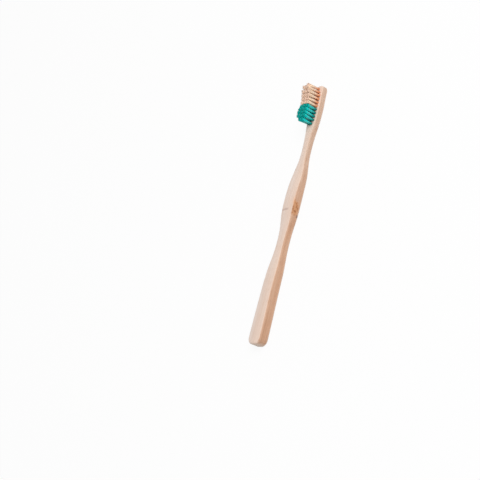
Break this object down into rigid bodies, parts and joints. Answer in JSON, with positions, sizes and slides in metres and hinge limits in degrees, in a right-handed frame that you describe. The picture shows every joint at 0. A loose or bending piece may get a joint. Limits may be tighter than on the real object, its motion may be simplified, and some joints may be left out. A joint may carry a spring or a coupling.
{
  "type": "manual toothbrush",
  "caption": "Manual toothbrush: slim waved bamboo handle with a flat back, and tan and green bristle tufts stapled into its head and trimmed to a shallow hollow.",
  "frame": {"origin": "on the plane of the flat back, under the middle of the brush's length and width", "axes": "+X along the handle from the butt to the tip of the head, +Y to the left as seen from the bristle side with the tip up, +Z the way the bristles point"},
  "size_m": [0.19, 0.0126, 0.0174],
  "materials": {
    "bamboo": "fine-sanded, oiled bamboo, satin",
    "natural_bristle": "tan nylon filament, satin",
    "green_bristle": "blue-green nylon filament, satin",
    "anchor_brass": "drawn flat wire, cut to length"
  },
  "bodies": {
    "root": {"anchor_row01_middle": "anchor_brass", "anchor_row02_left": "anchor_brass", "anchor_row02_right": "anchor_brass", "anchor_row03_left": "anchor_brass", "anchor_row03_middle": "anchor_brass", "anchor_row03_right": "anchor_brass", "anchor_row04_left": "anchor_brass", "anchor_row04_middle": "anchor_brass", "anchor_row04_right": "anchor_brass", "anchor_row05_left": "anchor_brass", "anchor_row05_middle": "anchor_brass", "anchor_row05_right": "anchor_brass", "anchor_row06_left": "anchor_brass", "anchor_row06_middle": "anchor_brass", "anchor_row06_right": "anchor_brass", "anchor_row07_left": "anchor_brass", "anchor_row07_middle": "anchor_brass", "anchor_row07_right": "anchor_brass", "anchor_row08_left": "anchor_brass", "anchor_row08_middle": "anchor_brass", "anchor_row08_right": "anchor_brass", "anchor_row09_left": "anchor_brass", "anchor_row09_middle": "anchor_brass", "anchor_row09_right": "anchor_brass", "anchor_row10_left": "anchor_brass", "anchor_row10_middle": "anchor_brass", "anchor_row10_right": "anchor_brass", "anchor_row11_left": "anchor_brass", "anchor_row11_right": "anchor_brass", "green_tuft_row07_left": "green_bristle", "green_tuft_row07_middle": "green_bristle", "green_tuft_row07_right": "green_bristle", "green_tuft_row08_left": "green_bristle", "green_tuft_row08_middle": "green_bristle", "green_tuft_row08_right": "green_bristle", "green_tuft_row09_left": "green_bristle", "green_tuft_row09_middle": "green_bristle", "green_tuft_row09_right": "green_bristle", "green_tuft_row10_left": "green_bristle", "green_tuft_row10_middle": "green_bristle", "green_tuft_row10_right": "green_bristle", "green_tuft_row11_left": "green_bristle", "green_tuft_row11_right": "green_bristle", "handle": "bamboo", "natural_tuft_row01_middle": "natural_bristle", "natural_tuft_row02_left": "natural_bristle", "natural_tuft_row02_right": "natural_bristle", "natural_tuft_row03_left": "natural_bristle", "natural_tuft_row03_middle": "natural_bristle", "natural_tuft_row03_right": "natural_bristle", "natural_tuft_row04_left": "natural_bristle", "natural_tuft_row04_middle": "natural_bristle", "natural_tuft_row04_right": "natural_bristle", "natural_tuft_row05_left": "natural_bristle", "natural_tuft_row05_middle": "natural_bristle", "natural_tuft_row05_right": "natural_bristle", "natural_tuft_row06_left": "natural_bristle", "natural_tuft_row06_middle": "natural_bristle", "natural_tuft_row06_right": "natural_bristle"}
  },
  "joints": []
}
